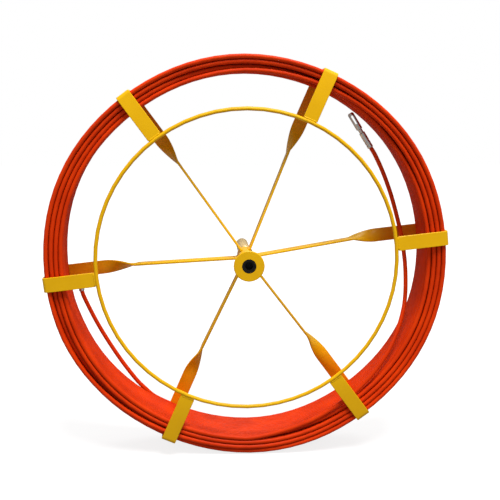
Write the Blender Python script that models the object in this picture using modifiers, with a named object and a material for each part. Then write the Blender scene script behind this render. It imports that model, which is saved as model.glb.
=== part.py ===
"""Rod reel: a spinning yellow strap cage that carries a coil of round fibreglass pulling rod.

Frame: metres, +Z up, origin on the spin axis at the middle of the cage's depth.
The axis lies along Y, and the open front of the cage faces -Y.
Angles run from +X towards +Z, which is counter-clockwise seen from the front.
"""

import math

import bmesh
import bpy
import numpy as np
from mathutils import Matrix, Vector

# Gap between meshes that touch on the real object
CLEARANCE = 0.0003

# Strap arms of the cage
ARM_COUNT = 6
FIRST_ARM_ANGLE = math.radians(6.3)
CAGE_RADIUS = 0.2033
CAGE_DEPTH = 0.0736
STRAP_WIDTH = 0.0145
STRAP_THICKNESS = 0.002
STRAP_EDGE_CHAMFER = 0.0004
BEND_RADIUS = 0.003
TWIST_OUTER_RADIUS = 0.150
TWIST_LENGTH = 0.034
SPOKE_SEAT_Y = -0.004
SPOKE_SEAT_LENGTH = 0.003

# Front ring, a round wire welded to the inner ends of the front legs
RING_RADIUS = 0.150
RING_WIRE_DIAMETER = 0.004

# Hub: a tube with a front flange, and bushes that turn on the spindle
HUB_REAR_Y = 0.0122
HUB_TUBE_WALL = 0.001
FLANGE_FACE_Y = -0.065
FLANGE_DIAMETER = 0.0300
FLANGE_THICKNESS = 0.0025
BUSH_WALL = 0.0008
BUSH_LENGTH = 0.018

# Spindle: a stepped tube, its thicker rear part is the handle
JOURNAL_DIAMETER = 0.012
SPINDLE_BORE = 0.010
HANDLE_DIAMETER = 0.0134
HANDLE_END_Y = 0.0866
WASHER_THICKNESS = 0.001
PLUG_RIM_WIDTH = 0.0014
PLUG_RECESS_DEPTH = 0.0014
PLUG_STEM_LENGTH = 0.008
PLUG_WALL = 0.0008
PLUG_FLOOR = 0.0015

# Rod: coil, free lead with the pulling tip, free tail
ROD_DIAMETER = 0.0045
TURN_GAP = 0.00045
LOOP_POINTS = 24
FRONT_FACE_TURNS = 3
REAR_FACE_TURNS = 2
OUTER_TURNS = 9
INNER_TURNS = 9
LAST_PITCH = 0.0087
STEP_OFF = 0.0050
STEP_TURN = 3 / 24
COIL_START_STEP = 15
COIL_END_TURN = 5 / 24
CROSSING_START = -0.7
CROSSING_DROPPED = -0.6
CROSSING_LAID = -0.3

# Free stretches, as (angle in degrees, radius, y) points chosen by eye along each route
LEAD_ROUTE = (
    (326, 0.1775, -0.0220),
    (333, 0.1767, -0.0140),
    (340, 0.1760, -0.0060),
    (346, 0.1747, 0.0020),
    (354, 0.1714, 0.0085),
    (1, 0.1684, 0.0105),
    (8, 0.1658, 0.0095),
    (15, 0.1640, 0.0065),
    (23, 0.1638, 0.0020),
    (31, 0.1653, -0.0025),
)
TAIL_ROUTE = (
    (230, 0.1844, 0.0322),
    (222, 0.1796, 0.0315),
    (214, 0.1769, 0.0312),
    (207, 0.1764, 0.0310),
    (200.5, 0.1772, 0.0310),
)
TIP_START = (41.3, 0.1690, -0.0068)
TIP_END = (53.8, 0.1793, -0.0068)
TAIL_FITTING_START = (193.4, 0.1790, 0.0310)
TAIL_FITTING_AIM = (188.5, 0.1798, 0.0310)
ROUTE_STEP = 0.011

# End fittings on the rod
FERRULE_DIAMETER = 0.006
FERRULE_LENGTH = 0.0178
FERRULE_WEB = 0.0055
CRIMP_DEPTH = 0.00025
CRIMP_WIDTH = 0.0014
TAIL_FERRULE_LENGTH = 0.0130
PIN_DIAMETER = 0.0024
PIN_COLLAR_DIAMETER = 0.0044
PIN_COLLAR_LENGTH = 0.0034
PIN_HEAD_DIAMETER = 0.0038
PIN_HEAD_LENGTH = 0.0014
EYE_DIAMETER = 0.0064
EYE_LENGTH = 0.0188
EYE_LIP = 0.0012
EYE_SLOT_WIDTH = 0.0028
EYE_SLOT_LENGTH = 0.0105
EYE_NOSE = 0.0015

# Facets round a circle
TURNED_STEPS = 24
SMALL_STEPS = 16
RING_STEPS = 60

# Stretches along a strap's twist
TWIST_STEPS = 14

# Sizes worked out from those above
ROD_RADIUS = ROD_DIAMETER / 2
HALF_DEPTH = CAGE_DEPTH / 2
BRIDGE_RADIUS = CAGE_RADIUS - STRAP_THICKNESS / 2
JOURNAL_RADIUS = JOURNAL_DIAMETER / 2
BUSH_INNER = JOURNAL_RADIUS + CLEARANCE
BUSH_OUTER = BUSH_INNER + BUSH_WALL
HUB_INNER = BUSH_OUTER + CLEARANCE
HUB_OUTER = HUB_INNER + HUB_TUBE_WALL
HUB_FRONT_Y = FLANGE_FACE_Y + FLANGE_THICKNESS + CLEARANCE
FLANGE_HOLE = (BUSH_INNER + BUSH_OUTER) / 2 + CLEARANCE
WASHER_FRONT_Y = HUB_REAR_Y + CLEARANCE
SHOULDER_Y = WASHER_FRONT_Y + WASHER_THICKNESS + CLEARANCE
TURN_PITCH = ROD_DIAMETER + TURN_GAP

YELLOW = (0.78, 0.43, 0.004)
ORANGE_RED = (0.62, 0.055, 0.008)
BLACK = (0.015, 0.013, 0.012)
STEEL = (0.60, 0.59, 0.57)
BARE_TUBE = (0.55, 0.46, 0.32)


def polar(degrees, radius, y):
    """A point at an angle and radius about the spin axis."""
    angle = math.radians(degrees)
    return Vector((radius * math.cos(angle), y, radius * math.sin(angle)))


def make_collection(name):
    collection = bpy.data.collections.new(name)
    bpy.context.scene.collection.children.link(collection)
    return collection


def make_material(name, color, roughness, metallic):
    material = bpy.data.materials.new(name)
    material.use_nodes = True
    shader = material.node_tree.nodes["Principled BSDF"]
    shader.inputs["Base Color"].default_value = (*color, 1.0)
    shader.inputs["Roughness"].default_value = roughness
    shader.inputs["Metallic"].default_value = metallic
    return material


def make_empty(name, collection, parent=None):
    empty = bpy.data.objects.new(name, None)
    collection.objects.link(empty)
    empty.empty_display_size = 0.02
    empty.parent = parent
    return empty


def add_object(name, data, collection, parent, material):
    obj = bpy.data.objects.new(name, data)
    collection.objects.link(obj)
    obj.parent = parent
    if not data.materials:
        data.materials.append(material)
    return obj


def turned(name, outline, steps, collection, parent, material):
    """A solid turned about local Y from a closed outline of (radius, y) points."""
    area = sum(a[0] * b[1] - b[0] * a[1] for a, b in zip(outline, outline[1:] + outline[:1]))
    if area > 0:
        outline = outline[::-1]
    mesh = bpy.data.meshes.new(name)
    edges = [(i, (i + 1) % len(outline)) for i in range(len(outline))]
    # An edge along the axis would sweep no face
    edges = [e for e in edges if outline[e[0]][0] > 0 or outline[e[1]][0] > 0]
    mesh.from_pydata([(r, y, 0) for r, y in outline], edges, [])
    obj = add_object(name, mesh, collection, parent, material)
    screw = obj.modifiers.new("Turn", "SCREW")
    screw.axis = "Y"
    screw.steps = steps
    screw.render_steps = steps
    screw.use_merge_vertices = True
    screw.merge_threshold = 0.00001
    screw.use_smooth_shade = True
    return obj


def tube(name, points, bevel_resolution, collection, parent, material):
    """A round tube of the rod's diameter along a row of points, with capped ends."""
    curve = bpy.data.curves.new(name, "CURVE")
    curve.dimensions = "3D"
    curve.bevel_depth = ROD_RADIUS
    curve.bevel_resolution = bevel_resolution
    curve.use_fill_caps = True
    spline = curve.splines.new("POLY")
    spline.points.add(len(points) - 1)
    for spot, point in zip(spline.points, points):
        spot.co = (*point, 1.0)
    return add_object(name, curve, collection, parent, material)


def smooth_route(points, step):
    """Evenly spaced points on a Catmull-Rom curve through the given points."""
    knots = np.array([tuple(p) for p in points])
    padded = np.vstack([2 * knots[0] - knots[1], knots, 2 * knots[-1] - knots[-2]])
    t = np.linspace(0, 1, 24, endpoint=False)[:, None]
    spans = []
    for a, b, c, d in zip(padded, padded[1:], padded[2:], padded[3:]):
        spans.append(b + 0.5 * t * (c - a + t * (2 * a - 5 * b + 4 * c - d + t * (3 * (b - c) + d - a))))
    fine = np.vstack([*spans, knots[-1:]])
    run = np.concatenate([[0], np.cumsum(np.linalg.norm(np.diff(fine, axis=0), axis=1))])
    count = max(2, round(run[-1] / step) + 1)
    even = np.linspace(0, run[-1], count)
    return np.stack([np.interp(even, run, fine[:, k]) for k in range(3)], axis=1)


def strap_profile(cutters):
    """Cross-section of a strap, with its four edges eased."""
    half_width = STRAP_WIDTH / 2
    half_thick = STRAP_THICKNESS / 2
    ease = STRAP_EDGE_CHAMFER
    corner = [(half_thick, half_width - ease), (half_thick - ease, half_width)]
    corners = []
    for sx, sy in ((1, 1), (-1, 1), (-1, -1), (1, -1)):
        pair = [(sx * x, sy * y) for x, y in corner]
        corners += pair if sx * sy > 0 else pair[::-1]
    corners.reverse()
    curve = bpy.data.curves.new("strap_profile", "CURVE")
    curve.dimensions = "2D"
    spline = curve.splines.new("POLY")
    spline.points.add(len(corners) - 1)
    for spot, (x, y) in zip(spline.points, corners):
        spot.co = (x, y, 0, 1)
    spline.use_cyclic_u = True
    profile = bpy.data.objects.new("strap_profile", curve)
    cutters.objects.link(profile)
    profile.hide_render = True
    profile.display_type = "WIRE"
    return profile


def arm_path():
    """(radius, y, twist) points: front leg, bridge over the coil, rear leg, twist, spoke."""
    straight = 0.0
    edge_on = math.radians(90)
    ring_side = RING_RADIUS + RING_WIRE_DIAMETER / 2 + CLEARANCE
    points = [(ring_side, -HALF_DEPTH, straight)]
    bend_center = BRIDGE_RADIUS - BEND_RADIUS
    for start, center_y in ((-90, BEND_RADIUS - HALF_DEPTH), (0, HALF_DEPTH - BEND_RADIUS)):
        for k in range(5):
            angle = math.radians(start + 22.5 * k)
            radius = bend_center + BEND_RADIUS * math.cos(angle)
            points.append((radius, center_y + BEND_RADIUS * math.sin(angle), straight))
    seat_radius = HUB_OUTER + CLEARANCE
    spoke_end = seat_radius + SPOKE_SEAT_LENGTH
    run = TWIST_OUTER_RADIUS - TWIST_LENGTH / 2 - spoke_end
    slope = (HALF_DEPTH - SPOKE_SEAT_Y) / run
    for k in range(TWIST_STEPS + 1):
        share = k / TWIST_STEPS
        along = share * TWIST_LENGTH
        drop = slope * along * along / (2 * TWIST_LENGTH)
        twist = edge_on * share
        points.append((TWIST_OUTER_RADIUS - along, HALF_DEPTH - drop, twist))
    points.append((spoke_end, SPOKE_SEAT_Y, edge_on))
    points.append((seat_radius, SPOKE_SEAT_Y, edge_on))
    return points


def make_arms(parts, cutters, reel, paint):
    curve = bpy.data.curves.new("arm", "CURVE")
    curve.dimensions = "3D"
    curve.twist_mode = "Z_UP"
    curve.bevel_mode = "OBJECT"
    curve.bevel_object = strap_profile(cutters)
    curve.use_fill_caps = True
    path = arm_path()
    spline = curve.splines.new("POLY")
    spline.points.add(len(path) - 1)
    for spot, (radius, y, twist) in zip(spline.points, path):
        spot.co = (radius, y, 0, 1)
        spot.tilt = twist
    for k in range(ARM_COUNT):
        arm = add_object(f"arm_{k + 1}", curve, parts, reel, paint)
        arm.rotation_euler.y = -(FIRST_ARM_ANGLE + 2 * math.pi * k / ARM_COUNT)


def make_front_ring(parts, reel, paint):
    bpy.ops.mesh.primitive_torus_add(
        major_radius=RING_RADIUS,
        minor_radius=RING_WIRE_DIAMETER / 2,
        major_segments=RING_STEPS,
        minor_segments=8,
        location=(0, -HALF_DEPTH, 0),
        rotation=(math.radians(90), 0, 0),
    )
    ring = bpy.context.object
    ring.name = "front_ring"
    ring.data.shade_smooth()
    ring.data.materials.append(paint)
    for owner in list(ring.users_collection):
        owner.objects.unlink(ring)
    parts.objects.link(ring)
    ring.parent = reel


def sleeve(inner, outer, start, end, ease):
    """Outline of a plain sleeve with eased outer edges."""
    return [
        (inner, start),
        (outer - ease, start),
        (outer, start + ease),
        (outer, end - ease),
        (outer - ease, end),
        (inner, end),
    ]


def make_hub(parts, reel, paint, polymer):
    edge = 0.3 * HUB_TUBE_WALL
    flange_back = FLANGE_FACE_Y + FLANGE_THICKNESS
    flange = sleeve(FLANGE_HOLE, FLANGE_DIAMETER / 2, FLANGE_FACE_Y, flange_back, 2 * edge)
    turned("hub_flange", flange, TURNED_STEPS, parts, reel, paint)
    hub = sleeve(HUB_INNER, HUB_OUTER, HUB_FRONT_Y, HUB_REAR_Y, edge)
    turned("hub_tube", hub, TURNED_STEPS, parts, reel, paint)
    front = sleeve(BUSH_INNER, BUSH_OUTER, HUB_FRONT_Y, HUB_FRONT_Y + BUSH_LENGTH, edge)
    turned("front_bush", front, TURNED_STEPS, parts, reel, polymer)
    rear = sleeve(BUSH_INNER, BUSH_OUTER, HUB_REAR_Y - BUSH_LENGTH, HUB_REAR_Y, edge)
    turned("rear_bush", rear, TURNED_STEPS, parts, reel, polymer)


def make_spindle(parts, spindle, tube_metal, steel, polymer):
    bore = SPINDLE_BORE / 2
    handle = HANDLE_DIAMETER / 2
    ease = 0.2 * HANDLE_DIAMETER / 2
    outline = [
        (bore, HUB_FRONT_Y),
        (JOURNAL_RADIUS, HUB_FRONT_Y),
        (JOURNAL_RADIUS, SHOULDER_Y),
        (handle, SHOULDER_Y),
        (handle, HANDLE_END_Y - ease),
        (handle - 0.3 * ease, HANDLE_END_Y - 0.3 * ease),
        (handle - ease / 2, HANDLE_END_Y),
        (bore, HANDLE_END_Y),
    ]
    turned("spindle", outline, TURNED_STEPS, parts, spindle, tube_metal)
    washer_back = WASHER_FRONT_Y + WASHER_THICKNESS
    washer = sleeve(BUSH_INNER, HUB_OUTER, WASHER_FRONT_Y, washer_back, 0.15 * WASHER_THICKNESS)
    turned("thrust_washer", washer, TURNED_STEPS, parts, spindle, steel)
    # The plug's head sits inside the flange's hole and stops the spindle from pulling out
    head = FLANGE_HOLE - CLEARANCE
    face = FLANGE_FACE_Y + CLEARANCE
    head_back = HUB_FRONT_Y - CLEARANCE
    stem = bore - CLEARANCE
    stem_end = head_back + PLUG_STEM_LENGTH
    dish = head - PLUG_RIM_WIDTH
    hole = stem - PLUG_WALL
    plug = [
        (0, stem_end - PLUG_FLOOR),
        (hole, stem_end - PLUG_FLOOR),
        (hole, face + PLUG_RECESS_DEPTH),
        (dish, face + PLUG_RECESS_DEPTH),
        (dish, face),
        (head, face),
        (head, head_back),
        (stem, head_back),
        (stem, stem_end),
        (0, stem_end),
    ]
    turned("spindle_plug", plug, TURNED_STEPS, parts, spindle, polymer)


def coil_limits():
    """Places of the outermost rod centres: the faces' y, and the radii at the loops' corners."""
    face_y = HALF_DEPTH - STRAP_THICKNESS / 2 - CLEARANCE - ROD_RADIUS
    flat = CAGE_RADIUS - STRAP_THICKNESS - CLEARANCE - ROD_RADIUS
    outer = flat / math.cos(math.pi / LOOP_POINTS)
    front_inner = outer - FRONT_FACE_TURNS * TURN_PITCH
    rear_inner = outer - REAR_FACE_TURNS * TURN_PITCH
    return face_y, outer, front_inner, rear_inner


def loop_angle(step):
    """Angle of a loop's corner: the flats between corners lie under the strap bridges."""
    return FIRST_ARM_ANGLE + (step + 0.5) * 2 * math.pi / LOOP_POINTS


def coil_points():
    """Centre line of the winding, from the tail at the rear to the lead at the front.

    It climbs the rear face, crosses the outside, comes down the front face, lines the inside,
    and its last turn lies back over that inner layer to the front edge.
    """
    face_y, outer, front_inner, rear_inner = coil_limits()
    inner_end_y = face_y - LAST_PITCH

    def inner_radius(y):
        return np.interp(y, (-face_y, face_y), (front_inner, rear_inner))

    lead_y = LAST_PITCH - ROD_RADIUS - face_y
    step_y = face_y - STEP_OFF
    marks = [(0, face_y, rear_inner)]

    def advance(turns, y, radius):
        marks.append((marks[-1][0] + turns, y, radius))

    advance(REAR_FACE_TURNS, face_y, outer)
    # A quick step where a face meets a layer keeps the turns apart round the corner
    advance(STEP_TURN, step_y, outer)
    advance(OUTER_TURNS - 2 * STEP_TURN, -step_y, outer)
    advance(STEP_TURN, -face_y, outer)
    advance(FRONT_FACE_TURNS, -face_y, front_inner)
    advance(STEP_TURN, -step_y, inner_radius(-step_y))
    whole_turns = math.floor(marks[-1][0] + INNER_TURNS)
    marks.append((whole_turns + CROSSING_START, inner_end_y, inner_radius(inner_end_y)))
    dropped = inner_radius(inner_end_y) - TURN_PITCH
    marks.append((whole_turns + CROSSING_DROPPED, inner_end_y, dropped))
    laid = inner_radius(lead_y) - 1.04 * TURN_PITCH
    marks.append((whole_turns + CROSSING_LAID, lead_y, laid))
    marks.append((whole_turns + COIL_END_TURN, lead_y, laid))
    turns, ys, radii = zip(*marks)
    steps = np.arange(round(turns[-1] * LOOP_POINTS) + 1)
    at = steps / LOOP_POINTS
    angles = loop_angle(steps + COIL_START_STEP)
    y = np.interp(at, turns, ys)
    radius = np.interp(at, turns, radii)
    return np.stack([radius * np.cos(angles), y, radius * np.sin(angles)], axis=1)


def with_straight_ends(points):
    """The same line with one rod diameter of straight run, along the next chord, added at each end."""
    half_chord = math.pi / LOOP_POINTS
    runs = []
    for end, way in ((points[0], -1), (points[-1], 1)):
        angle = math.atan2(end[2], end[0]) + way * half_chord
        along = way * np.array([-math.sin(angle), 0, math.cos(angle)])
        runs.append(end + along * ROD_DIAMETER)
    return np.vstack([runs[0], points, runs[1]])


def print_least_gap(points):
    """Prints the least gap between one part of the winding and another, half a turn or more away."""
    least = math.inf
    for k in range(len(points) - LOOP_POINTS // 2):
        away = np.linalg.norm(points[k + LOOP_POINTS // 2 :] - points[k], axis=1)
        least = min(least, away.min())
    turns = (len(points) - 1) / LOOP_POINTS
    print(f"winding: {turns:.2f} turns, least gap to itself {1000 * (least - ROD_DIAMETER):.2f} mm")


def make_coil(parts, reel, fibreglass):
    """The winding and the plain core of buried turns under it. Returns the winding's centre line."""
    points = coil_points()
    print_least_gap(points)
    line = with_straight_ends(points)
    tube("rod_winding", line, 1, parts, reel, fibreglass)
    face_y, outer, front_inner, rear_inner = coil_limits()
    inset = ROD_RADIUS + CLEARANCE
    core_outer = outer - inset
    core_y = face_y - inset
    core = [
        (front_inner + inset + 0.3 * CLEARANCE, -core_y),
        (core_outer, -core_y),
        (core_outer, core_y),
        (rear_inner + inset + 0.3 * CLEARANCE, core_y),
    ]
    buried = turned("rod_core", core, LOOP_POINTS, parts, reel, fibreglass)
    buried.rotation_euler.y = -loop_angle(0)
    return line


def make_free_rod(parts, reel, fibreglass, line, tip, tail_fitting):
    """Lead and tail: each leaves the winding in line and ends inside its fitting."""
    for name, end, inner, route, fitting in (
        ("rod_lead", line[-1], line[-2], LEAD_ROUTE, tip),
        ("rod_tail", line[0], line[1], TAIL_ROUTE, tail_fitting),
    ):
        out = Vector(end - inner).normalized()
        start = Vector(end) + out * CLEARANCE
        seat, aim = fitting
        points = [start, start + out * 2 * ROD_DIAMETER]
        points += [polar(*spot) for spot in route]
        points += [seat - aim * ROD_DIAMETER, seat]
        path = smooth_route(points, ROUTE_STEP)
        inside = seat + aim * (ferrule_bore_depth(name) - CLEARANCE)
        tube(name, np.vstack([path, tuple(inside)]), 2, parts, reel, fibreglass)


def ferrule_bore_depth(rod_name):
    length = FERRULE_LENGTH if rod_name == "rod_lead" else TAIL_FERRULE_LENGTH
    return length - FERRULE_WEB


def ferrule_outline(length, hole):
    """Crimped sleeve: a deep bore for the rod, a web, and a small hole through the web."""
    outer = FERRULE_DIAMETER / 2
    bore = ROD_RADIUS + CLEARANCE
    depth = length - FERRULE_WEB
    ease = 2 * CRIMP_DEPTH
    outline = [(bore, 0), (outer - ease, 0), (outer, ease)]
    for share in (0.3, 0.62):
        middle = share * depth
        outline += [
            (outer, middle - CRIMP_WIDTH / 2),
            (outer - CRIMP_DEPTH, middle - CRIMP_WIDTH / 4),
            (outer - CRIMP_DEPTH, middle + CRIMP_WIDTH / 4),
            (outer, middle + CRIMP_WIDTH / 2),
        ]
    outline += [(outer, length - ease), (outer - ease, length), (hole, length), (hole, depth), (bore, depth)]
    return outline


def aim_object(obj, spot, direction):
    """Places a turned piece with its own Y axis along a direction."""
    obj.location = spot
    obj.rotation_euler = direction.to_track_quat("Y", "Z").to_euler()


def make_tip(parts, cutters, reel, swivel, steel, tip):
    """Ferrule, swivel pin and slotted pulling eye on the lead's end."""
    start, aim = tip
    pin = PIN_DIAMETER / 2
    hole = pin + CLEARANCE
    ferrule = turned("tip_ferrule", ferrule_outline(FERRULE_LENGTH, hole), SMALL_STEPS, parts, reel, steel)
    aim_object(ferrule, start, aim)
    collar = PIN_COLLAR_DIAMETER / 2
    collar_start = FERRULE_LENGTH + CLEARANCE
    collar_end = collar_start + PIN_COLLAR_LENGTH
    eye_start = collar_end + CLEARANCE
    head = PIN_HEAD_DIAMETER / 2
    head_start = eye_start + EYE_LIP + CLEARANCE
    head_end = head_start + PIN_HEAD_LENGTH
    stud_start = FERRULE_LENGTH - FERRULE_WEB + CLEARANCE
    outline = [
        (0, stud_start),
        (pin, stud_start),
        (pin, collar_start),
        (collar, collar_start),
        (collar, collar_end),
        (pin, collar_end),
        (pin, head_start),
        (head, head_start),
        (head, head_end),
        (0, head_end),
    ]
    swivel_pin = turned("swivel_pin", outline, SMALL_STEPS, parts, reel, steel)
    aim_object(swivel_pin, start, aim)
    aim_object(swivel, start + aim * eye_start, aim)
    make_eye(parts, cutters, swivel, steel, hole, head + CLEARANCE)


def make_eye(parts, cutters, swivel, steel, hole, pocket):
    outer = EYE_DIAMETER / 2
    pocket_end = EYE_LIP + PIN_HEAD_LENGTH + 2 * CLEARANCE
    ease = EYE_NOSE / 4
    outline = [
        (hole, 0),
        (outer - ease, 0),
        (outer, ease),
        (outer, EYE_LENGTH - EYE_NOSE),
        (outer - EYE_NOSE / 2, EYE_LENGTH),
        (0, EYE_LENGTH),
        (0, pocket_end),
        (pocket, pocket_end),
        (pocket, EYE_LIP),
        (hole, EYE_LIP),
    ]
    eye = turned("pulling_eye", outline, SMALL_STEPS, parts, swivel, steel)
    # A cylinder across the eye, pulled apart into a slot with round ends
    mesh = bpy.data.meshes.new("eye_slot")
    shape = bmesh.new()
    radius = EYE_SLOT_WIDTH / 2
    bmesh.ops.create_cone(
        shape, cap_ends=True, segments=12, radius1=radius, radius2=radius, depth=2 * EYE_DIAMETER
    )
    stretch = EYE_SLOT_LENGTH / 2 - radius
    for vertex in shape.verts:
        vertex.co.y += math.copysign(stretch, vertex.co.y)
    bmesh.ops.rotate(shape, verts=shape.verts, matrix=Matrix.Rotation(math.radians(90), 3, "Y"))
    shape.to_mesh(mesh)
    shape.free()
    slot = bpy.data.objects.new("eye_slot", mesh)
    cutters.objects.link(slot)
    slot.parent = swivel
    slot.location.y = (pocket_end + EYE_LENGTH) / 2
    slot.hide_render = True
    slot.display_type = "WIRE"
    cut = eye.modifiers.new("Slot", "BOOLEAN")
    cut.operation = "DIFFERENCE"
    cut.object = slot


def make_tail_fitting(parts, reel, steel, tail_fitting):
    start, aim = tail_fitting
    outline = ferrule_outline(TAIL_FERRULE_LENGTH, PIN_DIAMETER / 2)
    fitting = turned("tail_ferrule", outline, SMALL_STEPS, parts, reel, steel)
    aim_object(fitting, start, aim)


def seat_and_aim(start, towards):
    seat = polar(*start)
    return seat, (polar(*towards) - seat).normalized()


def main():
    for obj in list(bpy.data.objects):
        bpy.data.objects.remove(obj, do_unlink=True)
    parts = make_collection("rod_reel")
    cutters = make_collection("cutters")
    paint = make_material("yellow_paint", YELLOW, 0.35, 0.0)
    fibreglass = make_material("fibreglass_rod", ORANGE_RED, 0.3, 0.0)
    polymer = make_material("black_polymer", BLACK, 0.5, 0.0)
    steel = make_material("plated_steel", STEEL, 0.25, 1.0)
    tube_metal = make_material("bare_tube", BARE_TUBE, 0.4, 0.6)

    spindle = make_empty("spindle_axis", parts)
    reel = make_empty("reel_axis", parts, spindle)
    swivel = make_empty("eye_swivel_axis", parts, reel)

    make_spindle(parts, spindle, tube_metal, steel, polymer)
    make_hub(parts, reel, paint, polymer)
    make_arms(parts, cutters, reel, paint)
    make_front_ring(parts, reel, paint)
    line = make_coil(parts, reel, fibreglass)
    tip = seat_and_aim(TIP_START, TIP_END)
    tail_fitting = seat_and_aim(TAIL_FITTING_START, TAIL_FITTING_AIM)
    make_free_rod(parts, reel, fibreglass, line, tip, tail_fitting)
    make_tip(parts, cutters, reel, swivel, steel, tip)
    make_tail_fitting(parts, reel, steel, tail_fitting)


main()
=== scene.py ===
"""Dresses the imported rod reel: one long rod wound through the cage, paint, metal, light and camera."""

import math

import bmesh
import bpy
import numpy as np
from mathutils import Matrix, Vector


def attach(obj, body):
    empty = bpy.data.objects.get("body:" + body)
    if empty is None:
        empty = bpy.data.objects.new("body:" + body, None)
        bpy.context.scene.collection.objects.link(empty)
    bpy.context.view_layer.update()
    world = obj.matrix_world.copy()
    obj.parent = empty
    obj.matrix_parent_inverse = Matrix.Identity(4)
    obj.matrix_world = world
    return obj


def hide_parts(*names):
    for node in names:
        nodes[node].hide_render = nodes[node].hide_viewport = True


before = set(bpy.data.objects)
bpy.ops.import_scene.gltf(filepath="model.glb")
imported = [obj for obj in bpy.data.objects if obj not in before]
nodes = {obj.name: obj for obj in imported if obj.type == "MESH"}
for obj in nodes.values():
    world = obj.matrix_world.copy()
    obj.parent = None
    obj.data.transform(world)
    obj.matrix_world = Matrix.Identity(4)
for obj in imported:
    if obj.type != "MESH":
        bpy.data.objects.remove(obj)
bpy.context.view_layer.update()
scene = bpy.context.scene

# Camera at the photograph's viewing angle
CAMERA_PLACE = (-0.0426, -0.8235, 0.1333)
CAMERA_AHEAD = (0.05633, 0.98670, -0.15251)
CAMERA_CLIP = 0.01
LENS_MM = 57.92
SENSOR_MM = 36

# Cage, as in the part, with angles in degrees from +X towards +Z
FIRST_ARM = 6.3
ARM_COUNT = 6
STRAP_WIDTH = 0.0145

# Coil: rows on both faces of the cage, and three layers of turns between them
ROD_DIAMETER = 0.0045
FACE_Y = 0.03325
FACE_TO_LAYER = 0.00485
OUTER_ROW = 0.19875
ROW_PITCH = 0.00473
ROW_COUNT = 4
REAR_START_RADIUS = 0.18885
FORWARD_GAP = 0.0020
OUTER_LAYER_TURNS = 13
INNER_LAYER_TURNS = 12
COIL_START = 238.8
COIL_END = 270.0
WHOLE_TURNS = 42
LOOP_POINTS = 90

# Stretches of the coil, in turns
CROSSOVER = 0.15
FLAT_RUN = 1 - CROSSOVER
REAR_CLIMB = 2.0
FIRST_FRONT_ROW = 0.75
SECOND_FRONT_ROW = 0.775
DROP_TO_LAYER = 0.125
SECOND_LAYER_LAST_RUN = 0.80
INNER_LAYER_FIRST_RUN = 0.63
INNER_LAYER_LAST_RUN = 0.46
COME_FORWARD = 0.045
STAY_FORWARD = 0.215
GO_BACK = 0.05
MOVE_OUT = 0.11
REACH_FACE = 0.10
THIRD_FRONT_ROW = 0.815

# How the rows settle: out between the straps, and deeper row by row towards the inside, most at the top
BULGE = 0.0011
SINK_AT_BOTTOM = 0.0005
SINK_AT_TOP = 0.0018
DEEPEST_ROW = 2

# Free ends, as (angle in degrees, radius, y) points. They repeat the part's, apart from the
# first points of each route, where it leaves a coil that is fuller than the part's
LEAD_ROUTE = (
    (280, 0.1830, -0.0316),
    (290, 0.1810, -0.0315),
    (300, 0.1792, -0.0310),
    (308, 0.1781, -0.0299),
    (314, 0.1776, -0.0281),
    (320, 0.1773, -0.0254),
    (326, 0.1771, -0.0218),
    (333, 0.1767, -0.0140),
    (340, 0.1760, -0.0060),
    (346, 0.1747, 0.0020),
    (354, 0.1714, 0.0085),
    (1, 0.1684, 0.0105),
    (8, 0.1658, 0.0095),
    (15, 0.1640, 0.0065),
    (23, 0.1638, 0.0020),
    (31, 0.1653, -0.0025),
)
TAIL_ROUTE = (
    (234.5, 0.1870, 0.0329),
    (230, 0.1844, 0.0322),
    (222, 0.1796, 0.0315),
    (214, 0.1769, 0.0312),
    (207, 0.1764, 0.0310),
    (200.5, 0.1772, 0.0310),
)
TIP_START = (41.3, 0.1690, -0.0068)
TIP_END = (53.8, 0.1793, -0.0068)
TAIL_FITTING_START = (193.4, 0.1790, 0.0310)
TAIL_FITTING_AIM = (188.5, 0.1798, 0.0310)
TIP_BORE = 0.0120
TAIL_BORE = 0.0072
LEAD_STRAIGHT = 2 * ROD_DIAMETER
TAIL_STRAIGHT = ROD_DIAMETER
JOIN_POINTS = 2
SPAN_POINTS = 24
ROUTE_STEP = 0.004

# Weld beads at the ring and at the spokes' roots
RING_WELD_RADIUS = 0.15215
RING_Y = -0.0368
RING_BEAD = 0.0014
SPOKE_ROOT_RADIUS = 0.0088
SPOKE_Y = -0.004
SPOKE_BEAD = 0.0008
SPOKE_BEAD_OFFSET = 0.0011
BEAD_INSET = 0.0006
BEAD_POINTS = 15
BEAD_END = 0.45
RIPPLE_HEIGHT = 0.09
RIPPLE_STEP = 2.4

# Shading of the solids
SHARP_ANGLE = math.radians(40)
MERGE_DISTANCE = 0.00001

# Where the paint gets a painted red reflection from the rod and painted shade: from none to the full tint
PAINTED_BOUNCE_RADIUS = (0.110, 0.170)
PAINTED_BOUNCE_Y = (0.020, 0.030)
PAINTED_BOUNCE_NORMAL_Y = (-0.2, -0.8)

# Stage: the camera sees the floor lifted to white, by less near the reel than far from it
FLOOR_Z = -0.2032
FLOOR_HALF_SIZE = 6
FLOOR_GREY = 0.28
FLOOR_LIFT_DISTANCES = (0.35, 0.90)
FLOOR_LIFTS = (0.82, 1.0)
WORLD_FILL = 0.44
WHITE = (1.0, 1.0, 1.0, 1.0)

# Lights, as (name, place, size, power)
LIGHTS = (
    ("key", (0.22, -0.80, 1.85), 1.0, 53),
    ("back", (0.25, 1.0, 1.5), 0.8, 8),
)

# Places worked out from those above
LAYER_Y = FACE_Y - FACE_TO_LAYER
NESTED_Y = LAYER_Y * (INNER_LAYER_TURNS - 1) / (OUTER_LAYER_TURNS - 1)
FORWARD_Y = FORWARD_GAP - FACE_Y
ROWS = [OUTER_ROW - ROW_PITCH * k for k in range(ROW_COUNT)]
COIL_TURNS = WHOLE_TURNS + (COIL_END - COIL_START) / 360


def polar(degrees, radius, y):
    """A point at an angle and radius about the spin axis."""
    angle = math.radians(degrees)
    return Vector((radius * math.cos(angle), y, radius * math.sin(angle)))


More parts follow.
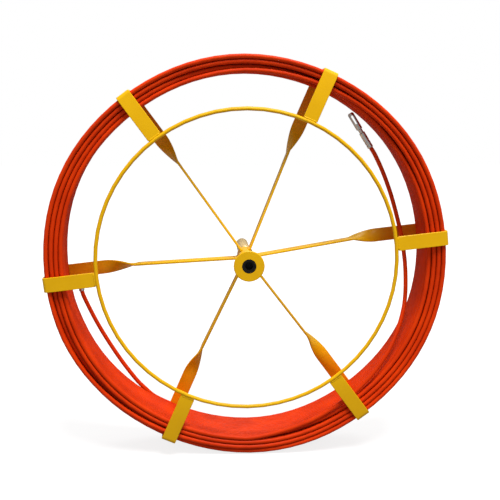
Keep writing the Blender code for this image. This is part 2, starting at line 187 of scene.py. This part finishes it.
# Camera


def make_camera():
    data = bpy.data.cameras.new("photo_camera")
    data.lens = LENS_MM
    data.sensor_width = SENSOR_MM
    data.clip_start = CAMERA_CLIP
    camera = bpy.data.objects.new("photo_camera", data)
    scene.collection.objects.link(camera)
    camera.location = CAMERA_PLACE
    camera.rotation_euler = Vector(CAMERA_AHEAD).to_track_quat("-Z", "Y").to_euler()
    scene.camera = camera


# Rod


def coil_marks():
    """The winding's course, as (turns so far, y, radius) wherever it changes."""
    row_1, row_2, row_3, row_4 = ROWS
    marks = [(0.0, FACE_Y, REAR_START_RADIUS)]

    def go(turns, y, radius):
        marks.append((marks[-1][0] + turns, y, radius))

    def layer(count, start, end, first=FLAT_RUN, last=FLAT_RUN):
        """Flat turns side by side, with a short crossover between them."""
        runs = [first] + [FLAT_RUN] * (count - 2) + [last]
        for k, run in enumerate(runs):
            y, radius = (a + (b - a) * k / (count - 1) for a, b in zip(start, end))
            if k:
                go(CROSSOVER, y, radius)
            go(run, y, radius)

    # Up the rear face, and across the outside to the front
    go(REAR_CLIMB, FACE_Y, row_1)
    go(CROSSOVER, LAYER_Y, row_1)
    layer(OUTER_LAYER_TURNS, (LAYER_Y, row_1), (-LAYER_Y, row_1))
    # Two rows on the front face, and back to the rear in a second layer, staggered against the outer one
    go(CROSSOVER, -FACE_Y, row_1)
    go(FIRST_FRONT_ROW, -FACE_Y, row_1)
    go(CROSSOVER, -FACE_Y, row_2)
    go(SECOND_FRONT_ROW, -FACE_Y, row_2)
    go(DROP_TO_LAYER, -NESTED_Y, row_2)
    layer(INNER_LAYER_TURNS, (-NESTED_Y, row_2), (NESTED_Y, row_2), last=SECOND_LAYER_LAST_RUN)
    # The inner layer, which narrows towards the front
    go(CROSSOVER, LAYER_Y, row_3)
    layer(
        INNER_LAYER_TURNS,
        (LAYER_Y, row_3),
        (-LAYER_Y, row_4),
        first=INNER_LAYER_FIRST_RUN,
        last=INNER_LAYER_LAST_RUN,
    )
    # Past the place where the lead leaves, its last turn lies close behind the front rows for a while
    go(COME_FORWARD, FORWARD_Y, row_4)
    go(STAY_FORWARD, FORWARD_Y, row_4)
    go(GO_BACK, -LAYER_Y, row_4)
    # It comes out as the last two rows of the front face
    go(MOVE_OUT, -LAYER_Y, row_3)
    go(REACH_FACE, -FACE_Y, row_3)
    go(THIRD_FRONT_ROW, -FACE_Y, row_3)
    go(CROSSOVER, -FACE_Y, row_4)
    go(COIL_TURNS - marks[-1][0], -FACE_Y, row_4)
    return marks


def coil_points():
    """Centre line of the whole winding."""
    turns, ys, radii = (np.array(v) for v in zip(*coil_marks()))
    at = np.arange(round(turns[-1] * LOOP_POINTS) + 1) / LOOP_POINTS
    angle = math.radians(COIL_START) + 2 * math.pi * at
    radius = np.interp(at, turns, radii)
    y = np.interp(at, turns, ys)
    height = (1 + np.sin(angle)) / 2
    rows_in = np.minimum((OUTER_ROW - radius) / ROW_PITCH, DEEPEST_ROW)
    sink = rows_in * (SINK_AT_BOTTOM + (SINK_AT_TOP - SINK_AT_BOTTOM) * height)
    y = y + sink * np.clip((LAYER_Y - y) / (2 * LAYER_Y), 0, 1)
    between_straps = (1 - np.cos(ARM_COUNT * (angle - math.radians(FIRST_ARM)))) / 2
    radius = radius + BULGE * between_straps
    return np.stack([radius * np.cos(angle), y, radius * np.sin(angle)], axis=1)


def smooth_route(stops):
    """Evenly spaced points on a Catmull-Rom curve through the given stops."""
    knots = np.array([tuple(stop) for stop in stops])
    padded = np.vstack([2 * knots[0] - knots[1], knots, 2 * knots[-1] - knots[-2]])
    t = np.linspace(0, 1, SPAN_POINTS, endpoint=False)[:, None]
    spans = []
    for a, b, c, d in zip(padded, padded[1:], padded[2:], padded[3:]):
        squared = 2 * a - 5 * b + 4 * c - d
        cubed = 3 * (b - c) + d - a
        spans.append(b + 0.5 * t * (c - a + t * (squared + t * cubed)))
    fine = np.vstack([*spans, knots[-1:]])
    run = np.concatenate([[0], np.cumsum(np.linalg.norm(np.diff(fine, axis=0), axis=1))])
    even = np.linspace(0, run[-1], max(2, round(run[-1] / ROUTE_STEP) + 1))
    return np.stack([np.interp(even, run, fine[:, k]) for k in range(3)], axis=1)


def free_end(leaves, route, start, towards, straight, bore):
    """A free end's line: off the coil, along its route and straight into its fitting's bore."""
    seat = polar(*start)
    aim = (polar(*towards) - seat).normalized()
    stops = [Vector(point) for point in leaves]
    stops += [polar(*spot) for spot in route]
    stops += [seat - aim * straight, seat, seat + aim * bore]
    return smooth_route(stops)


def rod_points():
    """Centre line from the tail's end, through the coil, to the lead's end."""
    coil = coil_points()
    first, last = JOIN_POINTS, -1 - JOIN_POINTS
    tail = free_end(
        (coil[first], coil[0]), TAIL_ROUTE, TAIL_FITTING_START, TAIL_FITTING_AIM, TAIL_STRAIGHT, TAIL_BORE
    )
    lead = free_end((coil[last], coil[-1]), LEAD_ROUTE, TIP_START, TIP_END, LEAD_STRAIGHT, TIP_BORE)
    return np.vstack([tail[::-1], coil[first + 1 : last], lead])


def make_rod():
    points = rod_points()
    curve = bpy.data.curves.new("rod", "CURVE")
    curve.dimensions = "3D"
    curve.bevel_depth = ROD_DIAMETER / 2
    curve.bevel_resolution = 3
    curve.use_fill_caps = True
    spline = curve.splines.new("POLY")
    spline.points.add(len(points) - 1)
    spline.points.foreach_set("co", np.hstack([points, np.ones((len(points), 1))]).ravel())
    spline.use_smooth = True
    rod = bpy.data.objects.new("rod", curve)
    scene.collection.objects.link(rod)
    rod.data.materials.append(rod_material())
    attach(rod, "reel")
    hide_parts("rod_winding", "rod_core", "rod_lead", "rod_tail")


# Weld beads


def add_bead(curve, start, end, radius):
    """One bead as a tube with the small ripples of a weld."""
    spline = curve.splines.new("POLY")
    spline.points.add(BEAD_POINTS - 1)
    for k, spot in enumerate(spline.points):
        share = k / (BEAD_POINTS - 1)
        spot.co = (*start.lerp(end, share), 1.0)
        taper = BEAD_END if share in (0, 1) else 1.0
        spot.radius = radius * taper * (1.0 + RIPPLE_HEIGHT * math.cos(RIPPLE_STEP * k))
    spline.use_smooth = True


def make_welds(paint):
    curve = bpy.data.curves.new("weld_beads", "CURVE")
    curve.dimensions = "3D"
    curve.bevel_depth = 1.0
    curve.bevel_resolution = 2
    curve.use_fill_caps = True
    half = STRAP_WIDTH / 2 - BEAD_INSET
    along = Vector((0, half, 0))
    for k in range(ARM_COUNT):
        degrees = FIRST_ARM + 360 * k / ARM_COUNT
        across = polar(degrees + 90, 1.0, 0.0)
        joint = polar(degrees, RING_WELD_RADIUS, RING_Y)
        add_bead(curve, joint - across * half, joint + across * half, RING_BEAD)
        root = polar(degrees, SPOKE_ROOT_RADIUS, SPOKE_Y)
        for side in (-1, 1):
            spot = root + across * side * SPOKE_BEAD_OFFSET
            add_bead(curve, spot - along, spot + along, SPOKE_BEAD)
    welds = bpy.data.objects.new("weld_beads", curve)
    scene.collection.objects.link(welds)
    curve.materials.append(paint)
    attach(welds, "reel")


# Materials


def new_material(name):
    material = bpy.data.materials.new(name)
    material.use_nodes = True
    tree = material.node_tree
    return material, tree, tree.nodes["Principled BSDF"]


def noise(tree, scale, detail=3.0, roughness=0.5, stretch=None):
    coords = tree.nodes.new("ShaderNodeTexCoord")
    texture = tree.nodes.new("ShaderNodeTexNoise")
    texture.inputs["Scale"].default_value = scale
    texture.inputs["Detail"].default_value = detail
    texture.inputs["Roughness"].default_value = roughness
    source = coords.outputs["Object"]
    if stretch:
        mapping = tree.nodes.new("ShaderNodeMapping")
        mapping.inputs["Scale"].default_value = stretch
        tree.links.new(source, mapping.inputs["Vector"])
        source = mapping.outputs["Vector"]
    tree.links.new(source, texture.inputs["Vector"])
    return texture.outputs["Fac"]


def ramp(tree, source, stops):
    node = tree.nodes.new("ShaderNodeValToRGB")
    elements = node.color_ramp.elements
    while len(elements) < len(stops):
        elements.new(0.5)
    for element, (place, color) in zip(elements, stops):
        element.position = place
        element.color = (*color, 1.0)
    tree.links.new(source, node.inputs["Fac"])
    return node.outputs["Color"]


def map_range(tree, source, before=(0.0, 1.0), after=(0.0, 1.0)):
    node = tree.nodes.new("ShaderNodeMapRange")
    for name, value in zip(("From Min", "From Max", "To Min", "To Max"), (*before, *after)):
        node.inputs[name].default_value = value
    tree.links.new(source, node.inputs["Value"])
    return node.outputs["Result"]


def product(tree, one, other):
    node = tree.nodes.new("ShaderNodeMath")
    node.operation = "MULTIPLY"
    tree.links.new(one, node.inputs[0])
    tree.links.new(other, node.inputs[1])
    return node.outputs["Value"]


def distance_out(tree, vector):
    node = tree.nodes.new("ShaderNodeVectorMath")
    node.operation = "LENGTH"
    tree.links.new(vector, node.inputs[0])
    return node.outputs["Value"]


def uneven_roughness(tree, shader, scale, low, high, detail=3.0):
    """Roughness that wanders between two values, over the middle of the noise's range."""
    value = map_range(tree, noise(tree, scale, detail), before=(0.3, 0.7), after=(low, high))
    tree.links.new(value, shader.inputs["Roughness"])


def grain(tree, shader, scale, strength, depth, detail=2.0):
    """A fine bump."""
    node = tree.nodes.new("ShaderNodeBump")
    node.inputs["Strength"].default_value = strength
    node.inputs["Distance"].default_value = depth
    tree.links.new(noise(tree, scale, detail), node.inputs["Height"])
    tree.links.new(node.outputs["Normal"], shader.inputs["Normal"])


def painted_bounce_mask(tree):
    """Painted red reflection and shade: 1 on the rear legs' inner faces beside the rod, and 0 elsewhere.
    """
    coords = tree.nodes.new("ShaderNodeTexCoord")
    place = tree.nodes.new("ShaderNodeSeparateXYZ")
    tree.links.new(coords.outputs["Object"], place.inputs["Vector"])
    facing = tree.nodes.new("ShaderNodeSeparateXYZ")
    tree.links.new(coords.outputs["Normal"], facing.inputs["Vector"])
    flat = tree.nodes.new("ShaderNodeVectorMath")
    flat.operation = "MULTIPLY"
    flat.inputs[1].default_value = (1.0, 0.0, 1.0)
    tree.links.new(coords.outputs["Object"], flat.inputs[0])
    far_out = map_range(tree, distance_out(tree, flat.outputs["Vector"]), before=PAINTED_BOUNCE_RADIUS)
    far_back = map_range(tree, place.outputs["Y"], before=PAINTED_BOUNCE_Y)
    turned_to_it = map_range(tree, facing.outputs["Y"], before=PAINTED_BOUNCE_NORMAL_Y)
    return product(tree, product(tree, far_out, far_back), turned_to_it)


def paint_material():
    """Yellow powder coat with a faint orange peel, and painted red reflection and shade on the rear legs'
    inner faces.
    """
    material, tree, shader = new_material("yellow_powder_coat")
    dull, clear = (0.75, 0.400, 0.0005), (0.81, 0.445, 0.001)
    # Painted red reflection of the rod and painted shade, multiplied into the paint on the rear legs'
    # inner faces
    painted_bounce_tint = (1.0, 0.55, 0.5, 1.0)
    color = ramp(tree, noise(tree, scale=45, detail=4), ((0.3, dull), (0.7, clear)))
    deeper = tree.nodes.new("ShaderNodeMix")
    deeper.data_type = "RGBA"
    deeper.blend_type = "MULTIPLY"
    deeper.inputs["B"].default_value = painted_bounce_tint
    tree.links.new(painted_bounce_mask(tree), deeper.inputs["Factor"])
    tree.links.new(color, deeper.inputs["A"])
    tree.links.new(deeper.outputs["Result"], shader.inputs["Base Color"])
    uneven_roughness(tree, shader, scale=160, low=0.32, high=0.44)
    grain(tree, shader, scale=420, strength=0.06, depth=0.0003)
    shader.inputs["Specular IOR Level"].default_value = 0.18
    return material


def rod_material():
    """Orange-red resin over glass fibre: satin, with soft patches and a slightly uneven skin."""
    material, tree, shader = new_material("fibreglass_skin")
    dark, middle, bright = (0.55, 0.028, 0.001), (0.65, 0.036, 0.001), (0.73, 0.046, 0.001)
    patches = noise(tree, scale=38, detail=5, roughness=0.6)
    color = ramp(tree, patches, ((0.28, dark), (0.5, middle), (0.72, bright)))
    tree.links.new(color, shader.inputs["Base Color"])
    uneven_roughness(tree, shader, scale=240, low=0.36, high=0.52)
    grain(tree, shader, scale=700, strength=0.06, depth=0.0002)
    shader.inputs["Specular IOR Level"].default_value = 0.08
    return material


def steel_material():
    """Bright plated steel with fine scratches."""
    material, tree, shader = new_material("bright_plated_steel")
    bright, wear = (0.74, 0.73, 0.70), 0.82
    worn = tuple(wear * c for c in bright)
    scratches = noise(tree, scale=700, detail=4, roughness=0.6)
    color = ramp(tree, scratches, ((0.3, worn), (0.65, bright)))
    tree.links.new(color, shader.inputs["Base Color"])
    uneven_roughness(tree, shader, scale=1500, low=0.20, high=0.36)
    grain(tree, shader, scale=2500, strength=0.10, depth=0.0002, detail=3)
    shader.inputs["Metallic"].default_value = 1.0
    return material


def handle_material():
    """Pale tan tube with a dull surface, lightly rubbed along its length."""
    material, tree, shader = new_material("tan_tube")
    dark, pale = (0.68, 0.46, 0.16), (0.80, 0.58, 0.23)
    rubbed = noise(tree, scale=120, detail=4, roughness=0.55, stretch=(1.0, 0.25, 1.0))
    color = ramp(tree, rubbed, ((0.3, dark), (0.7, pale)))
    tree.links.new(color, shader.inputs["Base Color"])
    uneven_roughness(tree, shader, scale=400, low=0.38, high=0.55)
    grain(tree, shader, scale=1200, strength=0.12, depth=0.0003, detail=3)
    return material


def polymer_material():
    """Black moulded polymer with a fine grain."""
    material, tree, shader = new_material("black_moulding")
    black, grey = (0.004, 0.0035, 0.003), (0.010, 0.008, 0.007)
    color = ramp(tree, noise(tree, scale=600), ((0.3, black), (0.7, grey)))
    tree.links.new(color, shader.inputs["Base Color"])
    uneven_roughness(tree, shader, scale=300, low=0.42, high=0.60, detail=2)
    grain(tree, shader, scale=1800, strength=0.15, depth=0.0002)
    shader.inputs["Specular IOR Level"].default_value = 0.25
    return material


# Dressing of the solids


def smooth_by_angle():
    """A node group that keeps the sharper edges crisp and smooths the rest."""
    group = bpy.data.node_groups.new("smooth_by_angle", "GeometryNodeTree")
    group.interface.new_socket("Geometry", in_out="INPUT", socket_type="NodeSocketGeometry")
    group.interface.new_socket("Geometry", in_out="OUTPUT", socket_type="NodeSocketGeometry")
    start = group.nodes.new("NodeGroupInput")
    faces = group.nodes.new("GeometryNodeSetShadeSmooth")
    edges = group.nodes.new("GeometryNodeSetShadeSmooth")
    edges.domain = "EDGE"
    angle = group.nodes.new("GeometryNodeInputMeshEdgeAngle")
    shallow = group.nodes.new("FunctionNodeCompare")
    shallow.data_type = "FLOAT"
    shallow.operation = "LESS_THAN"
    shallow.inputs["B"].default_value = SHARP_ANGLE
    end = group.nodes.new("NodeGroupOutput")
    group.links.new(start.outputs["Geometry"], faces.inputs["Geometry"])
    group.links.new(faces.outputs["Geometry"], edges.inputs["Geometry"])
    group.links.new(angle.outputs["Unsigned Angle"], shallow.inputs["A"])
    group.links.new(shallow.outputs["Result"], edges.inputs["Shade Smooth"])
    group.links.new(edges.outputs["Geometry"], end.inputs["Geometry"])
    return group


def soften(piece, group):
    """Smooth shading by modifiers, without the flat shading that the solid came with."""
    data = piece.data
    for name in ("custom_normal", "sharp_edge", "sharp_face"):
        if name in data.attributes:
            data.attributes.remove(data.attributes[name])
    weld = piece.modifiers.new("Weld", "WELD")
    weld.merge_threshold = MERGE_DISTANCE
    if group:
        shade = piece.modifiers.new("Smooth by angle", "NODES")
        shade.node_group = group


def dress_nodes(paint):
    arms = [f"arm_{k}" for k in range(1, ARM_COUNT + 1)]
    fittings = ["thrust_washer", "tip_ferrule", "swivel_pin", "pulling_eye", "tail_ferrule"]
    crisp = smooth_by_angle()
    for material, group, names in (
        (paint, crisp, ["hub_flange", "hub_tube", *arms]),
        (paint, None, ["front_ring"]),
        (polymer_material(), crisp, ["spindle_plug", "front_bush", "rear_bush"]),
        (steel_material(), crisp, fittings),
        (handle_material(), crisp, ["spindle"]),
    ):
        for name in names:
            data = nodes[name].data
            data.materials.clear()
            data.materials.append(material)
            soften(nodes[name], group)


# Light, floor and background


def seen_by_camera(tree, others, camera):
    """One value for camera rays and another for all other rays."""
    path = tree.nodes.new("ShaderNodeLightPath")
    return map_range(tree, path.outputs["Is Camera Ray"], after=(others, camera))


def floor_material():
    """Grey, but lifted to white for the camera, least near the reel, so that its shadow stays."""
    material, tree, shader = new_material("pale_floor")
    shader.inputs["Base Color"].default_value = (FLOOR_GREY, FLOOR_GREY, FLOOR_GREY, 1.0)
    shader.inputs["Roughness"].default_value = 0.9
    shader.inputs["Specular IOR Level"].default_value = 0.0
    coords = tree.nodes.new("ShaderNodeTexCoord")
    away = distance_out(tree, coords.outputs["Object"])
    lift = map_range(tree, away, before=FLOOR_LIFT_DISTANCES, after=FLOOR_LIFTS)
    white = product(tree, lift, seen_by_camera(tree, others=0.0, camera=1.0))
    shader.inputs["Emission Color"].default_value = WHITE
    tree.links.new(white, shader.inputs["Emission Strength"])
    return material


def make_floor():
    mesh = bpy.data.meshes.new("floor")
    shape = bmesh.new()
    bmesh.ops.create_grid(shape, x_segments=1, y_segments=1, size=FLOOR_HALF_SIZE)
    shape.to_mesh(mesh)
    shape.free()
    mesh.materials.append(floor_material())
    floor = bpy.data.objects.new("floor", mesh)
    scene.collection.objects.link(floor)
    floor.location.z = FLOOR_Z


def make_world():
    world = bpy.data.worlds.new("studio")
    world.use_nodes = True
    scene.world = world
    tree = world.node_tree
    background = tree.nodes["Background"]
    background.inputs["Color"].default_value = WHITE
    tree.links.new(seen_by_camera(tree, others=WORLD_FILL, camera=1.0), background.inputs["Strength"])


def make_lights():
    """Round soft lights, all aimed at the reel's middle."""
    for name, spot, size, power in LIGHTS:
        data = bpy.data.lights.new(name, "AREA")
        data.shape = "DISK"
        data.size = size
        data.energy = power
        light = bpy.data.objects.new(name, data)
        scene.collection.objects.link(light)
        light.location = spot
        light.rotation_euler = (-Vector(spot)).to_track_quat("-Z", "Y").to_euler()


make_camera()
make_rod()
paint = paint_material()
dress_nodes(paint)
make_welds(paint)
make_floor()
make_world()
make_lights()
scene.view_settings.view_transform = "Standard"
